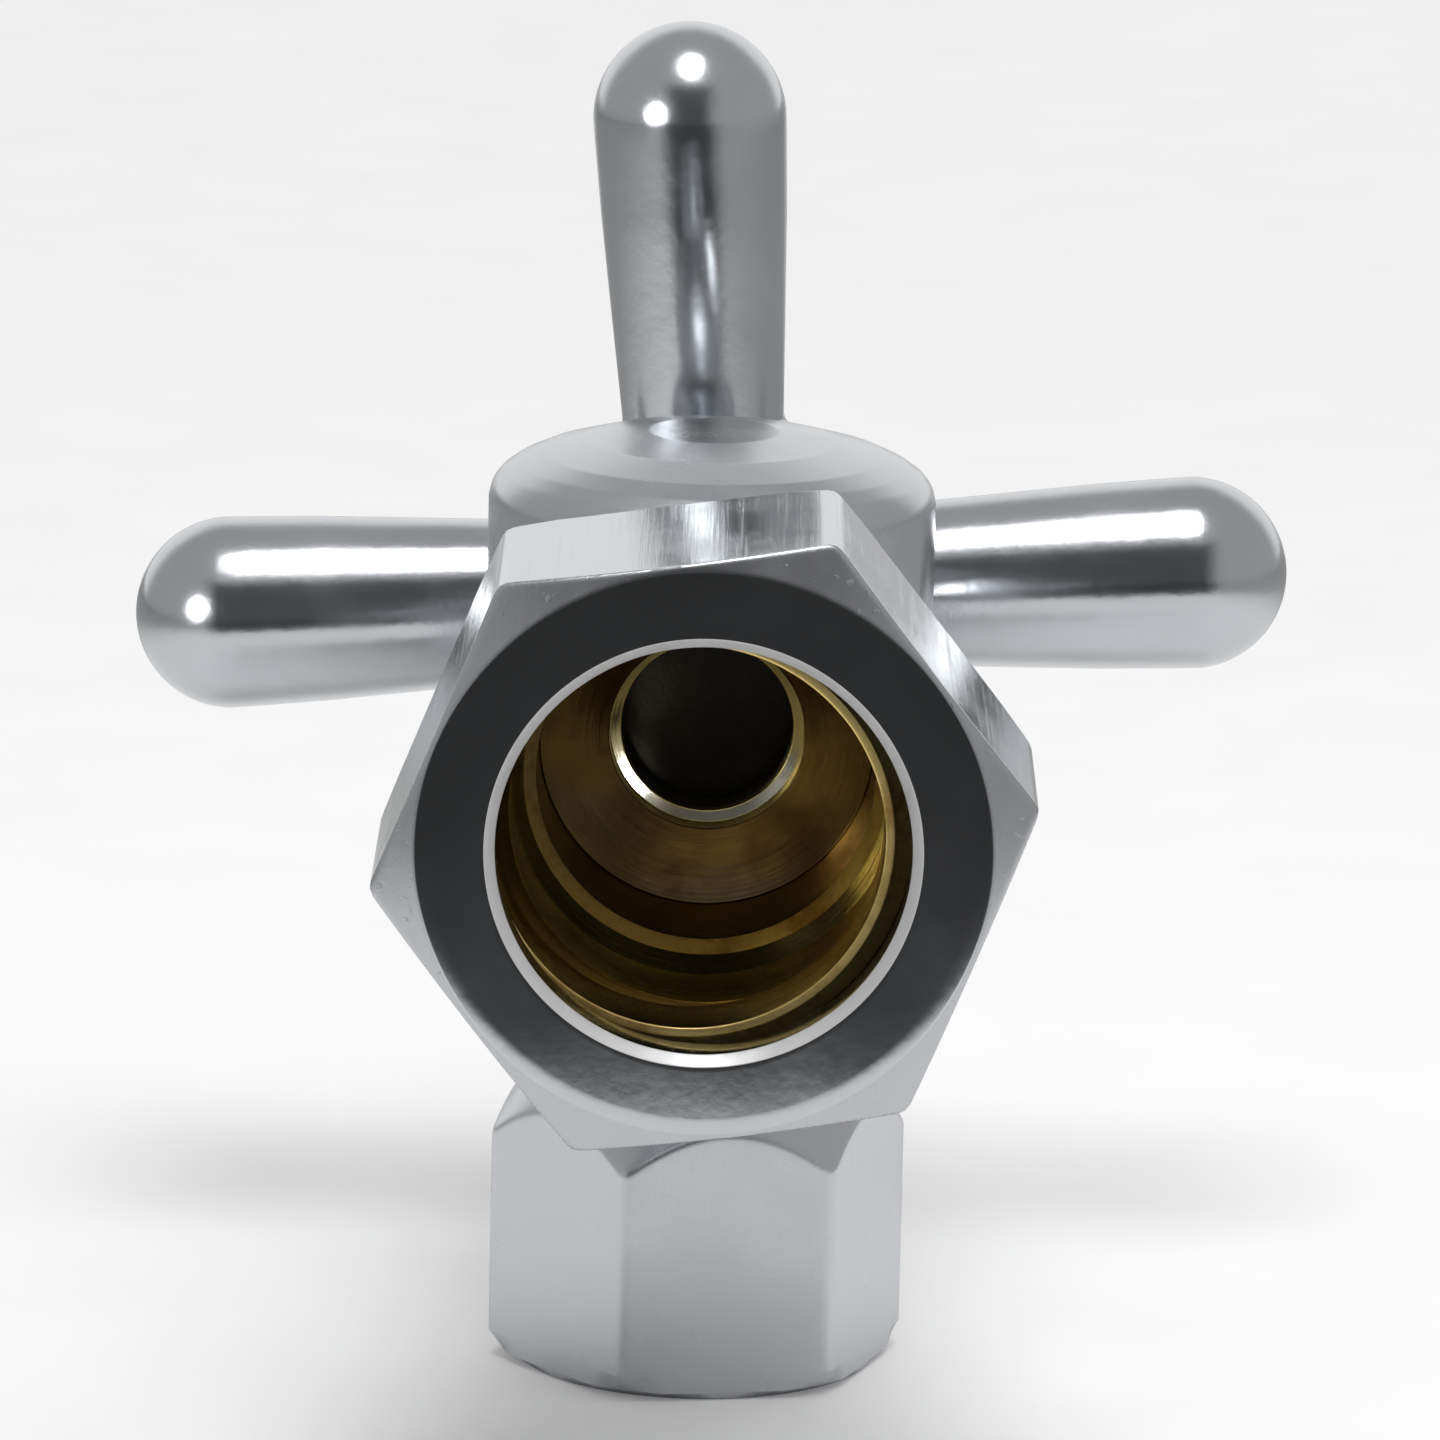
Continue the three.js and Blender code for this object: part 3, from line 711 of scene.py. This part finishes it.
def carried_over():
    """CAD pieces whose shape stays; they get their finishes here."""
    for nodes, material in ((("stem", "washer_holder", "packing_washer", "gland_ring"), BRASS_PART),
                            (("holder_clip", "lock_washer", "handle_screw"), STEEL),
                            (("packing_ring_lower", "packing_ring_upper"), PTFE),
                            (("bonnet_gasket",), FIBRE)):
        for node in nodes:
            piece = frame["nodes"][node]
            paint(piece, material)
            piece.data.shade_smooth()
            piece.data.set_sharp_from_angle(angle=math.radians(30))


# ---------------------------------------------------------------- stage, light, camera
def stage():
    """A pale paper floor. Painted reflection: what the chrome mirrors of it is darkened with distance, most
    of all in front; painted light: to the camera it glows, more further out.
    """
    z, reach = CAD_BOX[0][2], 2.5
    mesh = bpy.data.meshes.new("floor")
    mesh.from_pydata([(-reach, -reach, z), (reach, -reach, z), (reach, reach, z), (-reach, reach, z)], [],
                     [(0, 1, 2, 3)])
    piece = bpy.data.objects.new("floor", mesh)
    bpy.context.scene.collection.objects.link(piece)
    n = Surface("floor_paper")
    n.set(Roughness=0.9, Specular_IOR_Level=0.1)
    # Painted reflection: these masks darken the floor's colour for glossy rays only, with distance and most
    # of all in front, so the chrome mirrors a dark front.
    x, y, _ = n.split()
    away = n.maths("SQRT", n.maths("ADD", n.maths("MULTIPLY", x, x), n.maths("MULTIPLY", y, y)))
    ring = n.span(away, 0.075, 0.17, 1.0, 0.42, True)
    ahead = n.span(y, -0.112, -0.088, 1.0, 0.0, True)
    sideways = n.maths("DIVIDE", n.maths("ABSOLUTE", x), away)
    wedge = n.span(sideways, 0.35, 0.75, 1.0, 0.0, True)
    front = n.span(n.maths("MULTIPLY", ahead, wedge), 0.0, 1.0, 1.0, 0.08)
    narrow = n.span(sideways, 0.3, 0.6, 1.0, 0.0, True)
    back = n.maths("MULTIPLY", n.span(y, 0.12, 0.3, 0.0, 0.85, True), narrow)
    far = n.maths("MULTIPLY", n.span(away, 0.2, 1.0, 0.0, 0.85, True), front)
    reflection_darkening = n.maths("MAXIMUM", n.maths("MAXIMUM", n.maths("MULTIPLY", ring, front), far), back)
    path = n.add("LightPath")
    fade = n.choose(path.outputs["Is Glossy Ray"], 1.0, reflection_darkening)
    fibre = n.span(n.noise(90), 0.3, 0.7, 0.89, 0.92)
    n.link(n.maths("MULTIPLY", fibre, fade), n.shader.inputs["Base Color"])
    # Painted light: the floor glows for camera rays only, more further from the valve, so it reads white.
    n.set(Emission_Color=(1, 1, 1, 1))
    lift = n.span(away, 0.1, 1.2, 0.12, 0.55, True)
    n.link(n.maths("MULTIPLY", path.outputs["Is Camera Ray"], lift), n.shader.inputs["Emission Strength"])
    paint(piece, n.material)


def area_light(name, azimuth, elevation, distance, width, height, power, shape="ELLIPSE"):
    """A soft box that faces the valve; azimuth 0 is the camera's side, to the right is positive."""
    a, e = math.radians(azimuth), math.radians(elevation)
    spot = WORK + distance * Vector((math.sin(a) * math.cos(e), -math.cos(a) * math.cos(e), math.sin(e)))
    data = bpy.data.lights.new(name, "AREA")
    data.shape = shape
    data.size, data.size_y = width, height
    data.energy = power
    light = bpy.data.objects.new(name, data)
    light.location = spot
    light.rotation_euler = (WORK - spot).to_track_quat("-Z", "Y").to_euler()
    bpy.context.scene.collection.objects.link(light)
    return light


def only_on(lamp, piece):
    """Keeps a lamp's light, and its image in the chrome, to one piece."""
    lit = bpy.data.collections.new("lit_by_" + lamp.name)
    lit.objects.link(piece)
    lamp.light_linking.receiver_collection = lit


def lights(body, handle):
    area_light("top_box", 0, 75, 0.6, 0.25, 0.36, 1.2)
    only_on(area_light("left_lamp", -43, 12, 0.7, 0.34, 0.34, 1.2), handle)
    area_light("fill", 40, 70, 1.2, 0.9, 0.9, 4.6, "RECTANGLE").visible_glossy = False
    only_on(area_light("bore_lamp", 25, 4, 0.6, 0.13, 0.13, 1.0), body)


def world():
    """A grey studio, dark round the camera and lighter low down behind; the camera sees it white."""
    space = bpy.data.worlds.new("studio")
    bpy.context.scene.world = space
    space.use_nodes = True
    n = Nodes(space.node_tree, "Generated")
    x, y, z = n.split()
    ahead = n.span(y, -0.55, -0.25, 1.0, 0.0, True)
    over = n.span(z, 0.66, 0.78, 1.0, 0.0, True)
    middle = n.span(n.maths("ABSOLUTE", x), 0.22, 0.60, 1.0, 0.0, True)
    dark = n.maths("MULTIPLY", n.maths("MULTIPLY", ahead, over), middle)
    glow = n.maths("MULTIPLY", n.span(y, 0.5, 0.8, 0.0, 1.0, True), n.span(z, 0.45, 0.8, 1.0, 0.0, True))
    base = n.maths("ADD", 0.42, n.maths("MULTIPLY", glow, 0.5))
    seen = n.maths("MULTIPLY", base, n.span(dark, 0.0, 1.0, 1.0, 0.2))
    back = n.add("Background")
    back.inputs["Color"].default_value = (1, 1, 1, 1)
    n.link(n.choose(n.add("LightPath").outputs["Is Camera Ray"], seen, 1.0), back.inputs["Strength"])
    n.link(back.outputs["Background"], n.add("OutputWorld").inputs["Surface"])


def camera():
    """The photograph's view: a long lens from a little above the inlet, turned slightly on its axis."""
    data = bpy.data.cameras.new("camera")
    data.lens, data.sensor_width = 250.0, 36.0
    data.clip_start, data.clip_end = 0.01, 20
    elevation, roll, distance = math.radians(12.5), math.radians(1.27), 0.4341
    forward = Vector((0, math.cos(elevation), -math.sin(elevation)))
    side = Vector((1, 0, 0))
    up = side.cross(forward)
    right = side * math.cos(roll) + up * math.sin(roll)
    upward = up * math.cos(roll) - side * math.sin(roll)
    aim = WORK + Vector((0.54, 0, -1.3)) * MM
    eye = bpy.data.objects.new("camera", data)
    turn = Matrix((right, upward, -forward)).transposed().to_4x4()
    eye.matrix_world = Matrix.Translation(aim - forward * distance) @ turn
    bpy.context.scene.collection.objects.link(eye)
    bpy.context.scene.camera = eye


inlet_nut()
outlet_nut()
packing_nut()
body = valve_body()
handle = cross_handle()
index_button()
bonnet()
ferrules()
rubber_parts()
carried_over()
stage()
world()
lights(body, handle)
camera()
bpy.context.scene.view_settings.view_transform = "Standard"
